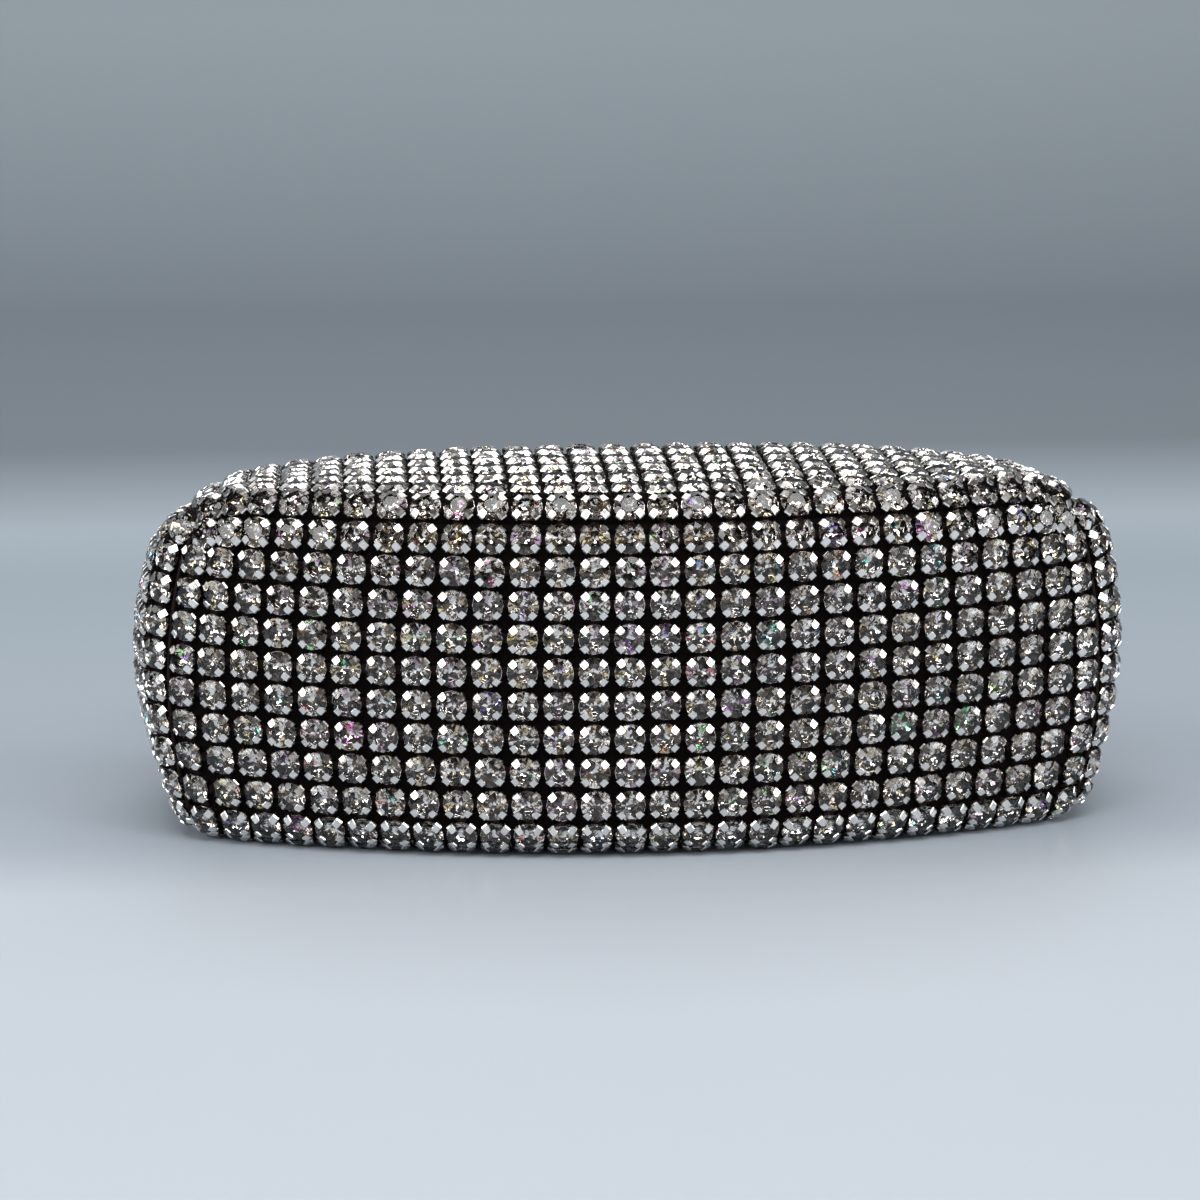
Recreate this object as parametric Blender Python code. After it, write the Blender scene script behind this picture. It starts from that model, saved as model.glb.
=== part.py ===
"""A crystal mesh evening pouch that lies on its back, stuffed, with a hinged frame in its mouth.

Metres, +Z up. X runs along the pouch, its base faces -Y and its mouth +Y. Depth is measured
from the front of the base towards the mouth, and height from the surface that it lies on.
"""

import math

import bmesh
import bpy
import numpy as np
from mathutils import Vector

# The body as it lies: its overall sizes and the pitch of the stones
BODY_WIDTH = 0.205
BODY_DEPTH = 0.130
BODY_THICKNESS = 0.076
STONE_PITCH = 0.007
STONE_RISE = 0.002

# How the stuffed body swells, sags and rounds off
SIDE_BULGE = 0.01
MOUTH_TAPER = 0.006
BASE_BOW = 0.022
EDGE_DROP = 0.0045
END_DROP = 0.0085
SWELL_DEPTH = 0.043
BASE_EDGE_ROUND = 0.0085
LOW_CORNER_ROUND = 0.01
TOP_CORNER_ROUND = 0.0175
LOW_EDGE_ROUND = 0.006
TOP_EDGE_ROUND = 0.0155
MOUTH_EDGE_ROUND = 0.008

# The layers of the walls, and the gap that parts sewn together keep in these solids
MESH_THICKNESS = 0.0026
LINING_THICKNESS = 0.0008
BOARD_THICKNESS = 0.0015
JOIN_GAP = 0.0003
SEAM_GAP = 0.0007

# The hinged frame in the mouth: two strips bent to a U that end in eyes, on two rivets
ARM_LENGTH = 0.032
STRIP_THICKNESS = 0.0016
STRIP_HEIGHT = 0.0045
STRIP_BEND = 0.009
EYE_RADIUS = 0.0046
RIVET_RADIUS = 0.0012
RIVET_HEAD_RADIUS = 0.0026
RIVET_HEAD_HEIGHT = 0.0009
RIVET_CLEARANCE = 0.0001
FRAME_TO_EDGE = 0.0095
CLOSED_GAP = 0.0006
CUT_OVERRUN = 0.002

# The mesh at the mouth: what folds when it opens, and what turns with the front strip
FOLD_REACH = 0.014
BAND_CLEARANCE = 0.008
SIDE_CLEARANCE = 0.008
MAGNET_RADIUS = 0.005
MAGNET_THICKNESS = 0.0025
MAGNET_SPACING = 0.0006

# Counts that shape the facets
ROUND_SEGMENTS = 12
BEND_SEGMENTS = 4
FACET_CELLS = (4, 1)
FLAT_FACET_CELLS = (3, 3)
SIDE_FACET_CELLS = (2, 2)
STONE_CELLS = (1, 1)
EDGE_CELLS = 3

# Worked out from the sizes above
BOX_HALF = BODY_WIDTH / 2 - SIDE_BULGE
LAYER_STACK = (
    CLOSED_GAP / 2 + LINING_THICKNESS + JOIN_GAP + STRIP_HEIGHT + JOIN_GAP + MESH_THICKNESS
)
MOUTH_THICKNESS = 2 * LAYER_STACK
HINGE_DEPTH = BODY_DEPTH - ARM_LENGTH
HINGE_HEIGHT = LAYER_STACK
FOLD_START = HINGE_DEPTH - FOLD_REACH
BAND_START = HINGE_DEPTH + BAND_CLEARANCE
SIDE_END = HINGE_DEPTH - SIDE_CLEARANCE
LINING_OFFSET = MESH_THICKNESS + JOIN_GAP
LINING_END = HINGE_DEPTH - EYE_RADIUS - JOIN_GAP
BASE_LINING_OFFSET = LINING_OFFSET + BOARD_THICKNESS + JOIN_GAP
ARM_OUTSIDE = BOX_HALF - MOUTH_TAPER - FRAME_TO_EDGE
STRIP_STEP = STRIP_THICKNESS + JOIN_GAP
STRIP_BASE = CLOSED_GAP / 2 + LINING_THICKNESS + JOIN_GAP
BAR_FRONT = BODY_DEPTH - LINING_THICKNESS - JOIN_GAP
MID_DEPTH = BODY_DEPTH / 2
MID_SHARE = 1.0 / 2.0

# How much of its cell the flat top of a stone takes
TABLE_SHARE = 0.62

# The stretch of the base that its board and lining cover
BOARD_WIDTH_SHARES = (-0.86, 0.86)
BOARD_HEIGHT_SHARES = (0.13, 0.87)
LINING_WIDTH_SHARES = (-0.93, 0.93)
LINING_HEIGHT_SHARES = (0.1, 0.9)
BASE_BULGE_SHARE = 0.4
SLOPE_STEP_SHARE = 0.0005
PROFILE_STEPS = 241
SOFT_ANGLE = math.radians(40)
CUT_ANGLE = math.radians(12)

# The colour, roughness and metallic value of each finish
FINISHES = {
    "crystal_mesh": ((0.62, 0.62, 0.64), 0.12, 0.6),
    "satin_lining": ((0.02, 0.02, 0.022), 0.45, 0.0),
    "base_board": ((0.08, 0.075, 0.07), 0.8, 0.0),
    "frame_steel": ((0.62, 0.62, 0.63), 0.3, 1.0),
    "magnet_steel": ((0.7, 0.7, 0.72), 0.2, 1.0),
}


def clear_scene():
    for item in list(bpy.data.objects):
        bpy.data.objects.remove(item, do_unlink=True)


def finish(name):
    colour, roughness, metallic = FINISHES[name]
    material = bpy.data.materials.get(name)
    if material is None:
        material = bpy.data.materials.new(name)
        material.use_nodes = True
        shader = material.node_tree.nodes["Principled BSDF"]
        shader.inputs["Base Color"].default_value = (*colour, 1.0)
        shader.inputs["Roughness"].default_value = roughness
        shader.inputs["Metallic"].default_value = metallic
    return material


# The shape of the lying body

def smooth(share):
    share = min(1.0, max(0.0, share))
    return share * share * (3.0 - 2.0 * share)


def front_height(depth):
    """The height of the front panel on the centre line."""
    rise = 1.0 - min(max(depth, 0.0), SWELL_DEPTH) / SWELL_DEPTH
    swell = BODY_THICKNESS - EDGE_DROP * rise * rise
    fall = smooth((depth - SWELL_DEPTH) / (BAND_START - SWELL_DEPTH))
    return swell + (MOUTH_THICKNESS - swell) * fall


def side_reach(depth, height_share):
    """How far a side stands from the centre line."""
    if depth < SWELL_DEPTH:
        missing = 1.0 - max(depth, 0.0) / SWELL_DEPTH
        swell = 1.0 - BASE_BULGE_SHARE * missing * missing
    else:
        swell = 1.0 - smooth((depth - SWELL_DEPTH) / (HINGE_DEPTH - SWELL_DEPTH))
    taper = smooth((depth - SWELL_DEPTH) / (HINGE_DEPTH - SWELL_DEPTH))
    across = 2.0 * height_share - 1.0
    return BOX_HALF - MOUTH_TAPER * taper + SIDE_BULGE * swell * (1.0 - across * across)


def edge_radii(depth, height):
    """How far the body rounds off at a point of the plain box, along X, depth and height."""
    upper = smooth(height / BODY_THICKNESS)
    corner = LOW_CORNER_ROUND + (TOP_CORNER_ROUND - LOW_CORNER_ROUND) * upper
    edge = LOW_EDGE_ROUND + (TOP_EDGE_ROUND - LOW_EDGE_ROUND) * upper
    edge += (MOUTH_EDGE_ROUND - edge) * smooth((depth - SWELL_DEPTH) / (HINGE_DEPTH - SWELL_DEPTH))
    along_x = corner + (edge - corner) * smooth(depth / (2.0 * corner))
    upright = edge * BODY_THICKNESS / front_height(depth)
    return np.array((along_x, BASE_EDGE_ROUND, min(upright, BODY_THICKNESS / 2.0)))


def rounded(box_point):
    """Carries a point on the faces of a sharp box to the box with rounded edges."""
    radii = edge_radii(box_point[1], box_point[2])
    low = np.array((-BOX_HALF, 0.0, 0.0)) + radii
    high = np.array((BOX_HALF, BODY_DEPTH + BASE_EDGE_ROUND, BODY_THICKNESS)) - radii
    point = np.array(box_point)
    core = np.maximum(low, np.minimum(high, point))
    away = (point - core) / radii
    return core + radii * away / np.linalg.norm(away)


def bent(box_point):
    """Carries a point of the plain rounded box to the swollen body."""
    x, depth, height = box_point
    width_share = x / BOX_HALF
    height_share = height / BODY_THICKNESS
    drop = END_DROP * abs(width_share) ** 3 * smooth(depth / SWELL_DEPTH)
    top = front_height(depth)
    drop *= (top - MOUTH_THICKNESS) / (BODY_THICKNESS - MOUTH_THICKNESS)
    bow = BASE_BOW * width_share * width_share * max(0.0, 1.0 - depth / FOLD_START)
    return np.array(
        (
            width_share * side_reach(depth, height_share),
            depth + bow - MID_DEPTH,
            height_share * (top - drop),
        )
    )


def on_body(across, depth_share, up):
    """The point of the body that a point on the faces of the plain box is carried to."""
    box_point = (across * BOX_HALF, depth_share * BODY_DEPTH, up * BODY_THICKNESS)
    return bent(rounded(box_point))


def length_shares(points):
    """The share of a line's length at which each of its points lies."""
    steps = np.linalg.norm(np.diff(np.array(points), axis=0), axis=1)
    lengths = np.concatenate(([0.0], np.cumsum(steps)))
    return lengths / lengths[-1]


# Five lines across the body, so that equal shares are equal lengths along the fabric
BOX_SHARES = np.linspace(0.0, 1.0, PROFILE_STEPS)
ACROSS_LENGTHS = length_shares([on_body(share, 0.0, MID_SHARE) for share in BOX_SHARES])
UP_LENGTHS = length_shares([on_body(0.0, 0.0, share) for share in BOX_SHARES])
FRONT_LENGTHS = length_shares([on_body(0.0, share, 1.0) for share in BOX_SHARES])
BACK_LENGTHS = length_shares([on_body(0.0, share, 0.0) for share in BOX_SHARES])
SIDE_LENGTHS = length_shares([on_body(1.0, share, MID_SHARE) for share in BOX_SHARES])


def even(share, lengths):
    """The share of the plain box at a share of the length of one of the five lines."""
    return math.copysign(float(np.interp(abs(share), lengths, BOX_SHARES)), share)


def front_share(depth):
    return float(np.interp(depth / BODY_DEPTH, BOX_SHARES, FRONT_LENGTHS))


# The share of the side line at which the side panels end
SIDE_SHARE = float(np.interp(SIDE_END / BODY_DEPTH, BOX_SHARES, SIDE_LENGTHS))


def on_base(across, up):
    return on_body(even(across, ACROSS_LENGTHS), 0.0, even(up, UP_LENGTHS))


def on_front(across, along):
    return on_body(even(across, ACROSS_LENGTHS), even(along, FRONT_LENGTHS), 1.0)


def on_back(across, along):
    return on_body(even(across, ACROSS_LENGTHS), even(along, BACK_LENGTHS), 0.0)


def on_left(up, along):
    return on_body(-1.0, even(along * SIDE_SHARE, SIDE_LENGTHS), even(up, UP_LENGTHS))


def on_right(up, along):
    return on_body(1.0, even(along * SIDE_SHARE, SIDE_LENGTHS), even(up, UP_LENGTHS))


# Each face of the body: where it lies, the least value of its two shares, and which way is out
FACES = {
    "base": (on_base, (-1.0, 0.0), 1.0),
    "front": (on_front, (-1.0, 0.0), 1.0),
    "back": (on_back, (-1.0, 0.0), -1.0),
    "left": (on_left, (0.0, 0.0), 1.0),
    "right": (on_right, (0.0, 0.0), -1.0),
}


def outward(face, first, second):
    """The way out of the body at a point of one of its faces."""
    place, lowest, sign = FACES[face]
    step = SLOPE_STEP_SHARE
    ends = []
    for centre, least in zip((first, second), lowest):
        ends.append((max(least, centre - step), min(1.0, centre + step)))
    along_first = place(ends[0][1], second) - place(ends[0][0], second)
    along_second = place(first, ends[1][1]) - place(first, ends[1][0])
    normal = sign * np.cross(along_first, along_second)
    return normal / np.linalg.norm(normal)


def layer(face, firsts, seconds, offset):
    """Points in rows on a face, sunk below it by the offset."""
    place = FACES[face][0]
    return [
        [place(a, b) - offset * outward(face, a, b) for a in firsts] for b in seconds
    ]


def stones_along(place):
    """How many stones fit along a line, given as a function of its share."""
    points = np.array([place(share) for share in BOX_SHARES])
    return round(np.linalg.norm(np.diff(points, axis=0), axis=1).sum() / STONE_PITCH)


# The stones along the two shares of each face: columns run on over the base's long edges, and
# rows round its ends
COLUMNS = 2 * stones_along(lambda share: on_base(share, MID_SHARE))
ROWS = stones_along(lambda share: on_base(0.0, share))
SIDE_COLUMNS = stones_along(lambda share: on_left(MID_SHARE, share))
CELLS = {
    "base": (COLUMNS, ROWS),
    "front": (COLUMNS, stones_along(lambda share: on_front(0.0, share))),
    "back": (COLUMNS, stones_along(lambda share: on_back(0.0, share))),
    "left": (ROWS, SIDE_COLUMNS),
    "right": (ROWS, SIDE_COLUMNS),
}


def stops(face, axis, low, high, cells_per_facet):
    """Shares at the ends of the facets between two shares. Facets end where cells of the mesh
    do, and each cell has its own where the edges round off."""
    cells = CELLS[face][axis]
    near = [*range(EDGE_CELLS), *range(EDGE_CELLS, cells // 2 + 1, cells_per_facet)]
    marks = sorted({*near, *[cells - mark for mark in near]})
    least = FACES[face][1][axis]
    shares = [least + (1.0 - least) * mark / cells for mark in marks]
    sliver = (1.0 - least) / cells / 4.0
    return [low] + [share for share in shares if low + sliver < share < high - sliver] + [high]


def inset(shares, share_left):
    """The two ends of each cell between the shares, drawn in until only a share of it is left."""
    ends = []
    for low, high in zip(shares, shares[1:]):
        margin = (high - low) * (1.0 - share_left) / 2.0
        ends.append((low + margin, high - margin))
    return ends


# Solids

def add_object(name, mesh_data, material_name, smooth_angle=SOFT_ANGLE):
    mesh = bpy.data.meshes.new(name)
    bmesh.ops.recalc_face_normals(mesh_data, faces=mesh_data.faces[:])
    mesh_data.to_mesh(mesh)
    mesh_data.free()
    mesh.materials.append(finish(material_name))
    mesh.shade_smooth()
    mesh.set_sharp_from_angle(angle=smooth_angle)
    item = bpy.data.objects.new(name, mesh)
    bpy.context.scene.collection.objects.link(item)
    return item


def add_points(data, points):
    return [[data.verts.new(Vector(p)) for p in row] for row in points]


def add_surface(data, points):
    """Adds a grid of points and its faces."""
    grid = add_points(data, points)
    for corners in cell_corners(grid):
        data.faces.new(corners)
    return grid


def cell_corners(grid):
    """The four corners of each cell of a grid, row by row."""
    return [
        (lower[c], lower[c + 1], upper[c + 1], upper[c])
        for lower, upper in zip(grid, grid[1:])
        for c in range(len(lower) - 1)
    ]


def add_wall(data, tops, bottoms, row_marks, column_marks):
    """Closes the rim between two grids. The marks give the rows and columns of the top grid at
    which the bottom grid has its own."""
    last_row, last_column = row_marks[-1], column_marks[-1]
    sides = (
        ([(0, c) for c in column_marks], bottoms[0]),
        ([(r, last_column) for r in row_marks], [row[-1] for row in bottoms]),
        ([(last_row, c) for c in column_marks], bottoms[-1]),
        ([(r, 0) for r in row_marks], [row[0] for row in bottoms]),
    )
    for marks, under in sides:
        for (low, high), pair in zip(zip(marks, marks[1:]), zip(under, under[1:])):
            run = [
                tops[r][c]
                for r in range(low[0], high[0] + 1)
                for c in range(low[1], high[1] + 1)
            ]
            data.faces.new((*run, pair[1], pair[0]))


def facet_ends(face, first_range, second_range, cells_per_facet):
    """The shares at which the facets of a sheet end, along each of a face's two shares."""
    ends = []
    for axis, (low, high) in enumerate((first_range, second_range)):
        margin = SEAM_GAP / 2.0 / (CELLS[face][axis] * STONE_PITCH) * (1.0 - FACES[face][1][axis])
        ends.append(stops(face, axis, low + margin, high - margin, cells_per_facet[axis]))
    return ends


def sheet(name, face, ranges, offsets, cells_per_facet, material_name):
    """A sheet that follows one face of the body, between two offsets below it."""
    firsts, seconds = facet_ends(face, *ranges, cells_per_facet)
    data = bmesh.new()
    grids = [add_surface(data, layer(face, firsts, seconds, offset)) for offset in offsets]
    add_wall(data, *grids, range(len(seconds)), range(len(firsts)))
    return add_object(name, data, material_name)


def stone_sheet(name, face, ranges, cells_per_facet, table_share=0.0):
    """A sheet of mesh in which each stone rises from its cell, to a point or to a flat table."""
    firsts, seconds = facet_ends(face, *ranges, STONE_CELLS)
    under_firsts, under_seconds = facet_ends(face, *ranges, cells_per_facet)
    data = bmesh.new()
    rims = add_points(data, layer(face, firsts, seconds, STONE_RISE))
    unders = add_surface(data, layer(face, under_firsts, under_seconds, MESH_THICKNESS))
    marks = [[shares.index(share) for share in under]
             for shares, under in ((seconds, under_seconds), (firsts, under_firsts))]
    add_wall(data, rims, unders, *marks)
    spots = [(a, b) for b in inset(seconds, table_share) for a in inset(firsts, table_share)]
    for ring, (first, second) in zip(cell_corners(rims), spots):
        add_stone(data, face, ring, first, second, table_share)
    return add_object(name, data, "crystal_mesh", CUT_ANGLE)


def add_stone(data, face, ring, first, second, table_share):
    """Raises one stone from the ring of its cell, between two pairs of shares."""
    place = FACES[face][0]
    if table_share:
        corners = zip((first[0], first[1], first[1], first[0]),
                      (second[0], second[0], second[1], second[1]))
        table = [data.verts.new(Vector(place(a, b))) for a, b in corners]
        data.faces.new(table)
    else:
        table = [data.verts.new(Vector(place(first[0], second[0])))] * len(ring)
    for i, corner in enumerate(ring):
        beside = (i + 1) % len(ring)
        corners = dict.fromkeys((corner, ring[beside], table[beside], table[i]))
        data.faces.new(list(corners))


def extruded(name, outline, start, end, axis, material_name):
    """A flat outline of two coordinates drawn out along the third axis."""
    data = bmesh.new()
    corners = []
    for a, b in outline:
        place = [a, b]
        place.insert(axis, start)
        corners.append(data.verts.new(place))
    face = data.faces.new(corners)
    grown = bmesh.ops.extrude_face_region(data, geom=[face])
    moved = [v for v in grown["geom"] if isinstance(v, bmesh.types.BMVert)]
    way = Vector((0.0, 0.0, 0.0))
    way[axis] = end - start
    bmesh.ops.translate(data, verts=moved, vec=way)
    return add_object(name, data, material_name)


def circle(centre, radius):
    turns = [2.0 * math.pi * (i + 0.5) / ROUND_SEGMENTS for i in range(ROUND_SEGMENTS)]
    return [(centre[0] + radius * math.cos(t), centre[1] + radius * math.sin(t)) for t in turns]


def combine(item, other, operation):
    """Joins or cuts with a hidden helper that stays in the file."""
    other.hide_render = True
    other.display_type = "WIRE"
    modifier = item.modifiers.new(other.name, "BOOLEAN")
    modifier.operation = operation
    modifier.solver = "EXACT"
    modifier.object = other


# The walls

LINING_OFFSETS = (LINING_OFFSET, LINING_OFFSET + LINING_THICKNESS)
BASE_LINING_OFFSETS = (BASE_LINING_OFFSET, BASE_LINING_OFFSET + LINING_THICKNESS)
BOARD_OFFSETS = (LINING_OFFSET, LINING_OFFSET + BOARD_THICKNESS)
FULL_WIDTH = (-1.0, 1.0)
FULL_RUN = (0.0, 1.0)


def row_share(depth):
    """The share of the front panel at the end of the row of stones nearest to a depth."""
    rows = CELLS["front"][1]
    return round(front_share(depth) * rows) / rows


FRONT_FIXED = (0.0, row_share(FOLD_START))
FRONT_FOLD = (FRONT_FIXED[1], row_share(BAND_START))
FRONT_MOUTH = (FRONT_FOLD[1], 1.0)
BACK_LINED = (0.0, float(np.interp(LINING_END / BODY_DEPTH, BOX_SHARES, BACK_LENGTHS)))


def build_mesh_panels():
    """The stones have flat tables, on which the pouch rests at the back. On the sides, where the
    cells draw in towards the mouth, they are plain points."""
    side, whole = (FULL_RUN, FULL_RUN), (FULL_WIDTH, FULL_RUN)
    stone_sheet("base_mesh", "base", whole, FLAT_FACET_CELLS, TABLE_SHARE)
    stone_sheet("back_mesh", "back", whole, FLAT_FACET_CELLS, TABLE_SHARE)
    stone_sheet("left_side_mesh", "left", side, SIDE_FACET_CELLS)
    stone_sheet("right_side_mesh", "right", side, SIDE_FACET_CELLS)
    for name, run in (("front_mesh", FRONT_FIXED), ("front_fold_mesh", FRONT_FOLD),
                      ("front_mouth_mesh", FRONT_MOUTH)):
        stone_sheet(name, "front", (FULL_WIDTH, run), FACET_CELLS, TABLE_SHARE)


def build_linings():
    base_stretch = (LINING_WIDTH_SHARES, LINING_HEIGHT_SHARES)
    board_stretch = (BOARD_WIDTH_SHARES, BOARD_HEIGHT_SHARES)
    side_stretch = (FULL_RUN, FULL_RUN)
    back_stretch = (FULL_WIDTH, BACK_LINED)
    sheets = (
        ("front", "front_lining", (FULL_WIDTH, FRONT_FIXED), LINING_OFFSETS, FACET_CELLS),
        ("back", "back_lining", back_stretch, LINING_OFFSETS, FLAT_FACET_CELLS),
        ("left", "left_side_lining", side_stretch, LINING_OFFSETS, SIDE_FACET_CELLS),
        ("right", "right_side_lining", side_stretch, LINING_OFFSETS, SIDE_FACET_CELLS),
        ("base", "base_lining", base_stretch, BASE_LINING_OFFSETS, FLAT_FACET_CELLS),
    )
    for face, name, ranges, offsets, cells_per_facet in sheets:
        sheet(name, face, ranges, offsets, cells_per_facet, "satin_lining")
    sheet("base_board", "base", board_stretch, BOARD_OFFSETS, FLAT_FACET_CELLS, "base_board")


# The hinged frame in the mouth

def half_strip(name, arm_outside, side):
    """A strip bent to a U, on edge, with an eye at each end. side is 1 in front, -1 behind."""
    low = HINGE_HEIGHT + side * STRIP_BASE
    high = low + side * STRIP_HEIGHT
    outline = []
    for hand in (-1.0, 1.0):
        for inset, way in ((0.0, 1), (STRIP_THICKNESS, -1)):
            bend = STRIP_BEND - inset
            turns = [math.pi / 2.0 * i / BEND_SEGMENTS for i in range(BEND_SEGMENTS + 1)]
            run = [(hand * (arm_outside - inset), HINGE_DEPTH)]
            run += [
                (
                    hand * (arm_outside - STRIP_BEND + bend * math.cos(t)),
                    BAR_FRONT - STRIP_BEND + bend * math.sin(t),
                )
                for t in turns
            ]
            outline.append(run)
    left_out, left_in, right_out, right_in = outline
    loop = left_out + right_out[::-1] + right_in + left_in[::-1]
    loop = [(x, depth - MID_DEPTH) for x, depth in loop]
    item = extruded(name, loop, min(low, high), max(low, high), 2, "frame_steel")
    centre = (HINGE_DEPTH - MID_DEPTH, HINGE_HEIGHT)
    for hand, label in ((-1.0, "left"), (1.0, "right")):
        ends = sorted((hand * arm_outside, hand * (arm_outside - STRIP_THICKNESS)))
        eye = extruded(f"{name}_{label}_eye", circle(centre, EYE_RADIUS), *ends, 0, "frame_steel")
        combine(item, eye, "UNION")
        drill = extruded(
            f"{name}_{label}_drill",
            circle(centre, RIVET_RADIUS + RIVET_CLEARANCE),
            ends[0] - CUT_OVERRUN,
            ends[1] + CUT_OVERRUN,
            0,
            "frame_steel",
        )
        combine(item, drill, "DIFFERENCE")
    return item


def rivet(name, hand):
    """A turned pin with two heads, through the front eye and the back eye."""
    outside = ARM_OUTSIDE + RIVET_CLEARANCE
    inside = ARM_OUTSIDE - STRIP_STEP - STRIP_THICKNESS - RIVET_CLEARANCE
    profile = (
        (inside - RIVET_HEAD_HEIGHT, RIVET_HEAD_RADIUS),
        (inside, RIVET_HEAD_RADIUS),
        (inside, RIVET_RADIUS),
        (outside, RIVET_RADIUS),
        (outside, RIVET_HEAD_RADIUS),
        (outside + RIVET_HEAD_HEIGHT, RIVET_HEAD_RADIUS),
    )
    centre = (HINGE_DEPTH - MID_DEPTH, HINGE_HEIGHT)
    data = bmesh.new()
    rings = []
    for x, radius in profile:
        rings.append([data.verts.new((hand * x, y, z)) for y, z in circle(centre, radius)])
    for ring, following in zip(rings, rings[1:]):
        for i in range(ROUND_SEGMENTS):
            j = (i + 1) % ROUND_SEGMENTS
            data.faces.new((ring[i], ring[j], following[j], following[i]))
    data.faces.new(rings[0])
    data.faces.new(rings[-1])
    return add_object(name, data, "frame_steel")


def facing(name, half_width, side, tail=()):
    """The lining's turned edge: inside the strip, then past its bar to the mesh. tail holds
    the places of its two faces where it starts further down, as (depth, height)."""
    near = HINGE_HEIGHT + side * CLOSED_GAP / 2.0
    far = near + side * LINING_THICKNESS
    top = HINGE_HEIGHT + side * (LAYER_STACK - MESH_THICKNESS - JOIN_GAP)
    start = BAND_START + JOIN_GAP
    lip = BODY_DEPTH - LINING_THICKNESS
    outline = [(start, near), (BODY_DEPTH, near), (BODY_DEPTH, top), (lip, top), (lip, far)]
    outline += [(start, far), *tail]
    outline = [(depth - MID_DEPTH, height) for depth, height in outline]
    return extruded(name, outline, -half_width, half_width, 0, "satin_lining")


def magnet(name, side):
    """A disc sewn in behind the facing, beside the strip's bar."""
    centre = (0.0, BAR_FRONT - STRIP_THICKNESS - MAGNET_SPACING - MAGNET_RADIUS - MID_DEPTH)
    low = HINGE_HEIGHT + side * STRIP_BASE
    ends = sorted((low, low + side * MAGNET_THICKNESS))
    return extruded(name, circle(centre, MAGNET_RADIUS), *ends, 2, "magnet_steel")


def build_mouth():
    front_arm = ARM_OUTSIDE - STRIP_STEP
    front_parts = [half_strip("front_frame", front_arm, 1.0)]
    half_strip("back_frame", ARM_OUTSIDE, -1.0)
    rivet("left_hinge_pin", -1.0)
    rivet("right_hinge_pin", 1.0)
    room = STRIP_THICKNESS + JOIN_GAP
    front_parts.append(facing("front_facing", front_arm - room, 1.0))
    foot = LINING_END + JOIN_GAP
    tail = ((foot, LINING_OFFSET), (foot, LINING_OFFSET + LINING_THICKNESS))
    facing("back_facing", ARM_OUTSIDE - room - STRIP_STEP - RIVET_HEAD_HEIGHT, -1.0, tail)
    front_parts.append(magnet("front_magnet", 1.0))
    magnet("back_magnet", -1.0)
    front_parts.append(bpy.data.objects["front_mouth_mesh"])
    hang_on_hinge(front_parts)


def hang_on_hinge(parts):
    """Parents the turning half to an empty on the hinge line."""
    hinge = bpy.data.objects.new("mouth_hinge_line", None)
    hinge.location = (0.0, HINGE_DEPTH - MID_DEPTH, HINGE_HEIGHT)
    bpy.context.scene.collection.objects.link(hinge)
    bpy.context.view_layer.update()
    helpers = [m.object for part in parts for m in part.modifiers]
    for item in parts + helpers:
        item.parent = hinge
        item.matrix_parent_inverse = hinge.matrix_world.inverted()


clear_scene()
build_mesh_panels()
build_linings()
build_mouth()
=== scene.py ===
"""The looks of a crystal mesh evening pouch: cut stones in prong cups on black netting.

Everything is in metres, in the frame of the solid model. The pouch lies on its back, with its
base towards the camera.
"""

import logging
import math
from dataclasses import dataclass, field
from enum import Enum

import bpy
import numpy as np
from bpy.types import Material, Node, NodeSocket, NodeTree, Object
from mathutils import Matrix, Vector


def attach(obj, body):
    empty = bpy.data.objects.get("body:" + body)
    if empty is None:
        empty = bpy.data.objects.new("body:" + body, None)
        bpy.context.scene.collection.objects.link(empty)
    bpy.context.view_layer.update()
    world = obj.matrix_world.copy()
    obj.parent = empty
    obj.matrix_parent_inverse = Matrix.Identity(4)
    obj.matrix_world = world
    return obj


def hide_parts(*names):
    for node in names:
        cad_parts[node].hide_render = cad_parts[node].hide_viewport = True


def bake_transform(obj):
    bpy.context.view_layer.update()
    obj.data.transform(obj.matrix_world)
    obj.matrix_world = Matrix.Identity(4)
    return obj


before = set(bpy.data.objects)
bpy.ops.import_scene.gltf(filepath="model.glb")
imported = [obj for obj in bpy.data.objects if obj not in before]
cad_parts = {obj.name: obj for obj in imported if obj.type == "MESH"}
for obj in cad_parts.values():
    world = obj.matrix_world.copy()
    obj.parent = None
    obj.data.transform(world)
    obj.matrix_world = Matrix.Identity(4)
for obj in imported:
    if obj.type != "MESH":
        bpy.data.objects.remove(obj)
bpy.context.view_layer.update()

log = logging.getLogger("pouch")

Array = np.ndarray
Triple = tuple[float, float, float]

BODY = "pouch_body"
JAW = "front_jaw"

# Where the random numbers start: for front and fold, for the mouth, and for the fixed panels
SEED = 11
MOUTH_SEED = SEED + 50
FIXED_SEED = SEED + 101


class Face(Enum):
    """The faces of the pouch that are covered in stones."""

    BASE = "base"
    FRONT = "front"
    BACK = "back"
    LEFT = "left_side"
    RIGHT = "right_side"

    @property
    def is_side(self) -> bool:
        """Whether it is at one of the two ends."""
        return self in (Face.LEFT, Face.RIGHT)

    @property
    def is_mirrored(self) -> bool:
        """Whether its two shares, taken in order, would make it look inward."""
        return self in (Face.BACK, Face.RIGHT)


def smooth(share: Array) -> Array:
    """An even start and stop between 0 and 1."""
    share = np.clip(share, 0.0, 1.0)
    return share * share * (3.0 - 2.0 * share)


def lengths_along(points: Array) -> Array:
    """How far along a line of points each of them lies."""
    steps = np.linalg.norm(np.diff(points, axis=0), axis=1)
    return np.concatenate(([0.0], np.cumsum(steps)))


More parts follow.
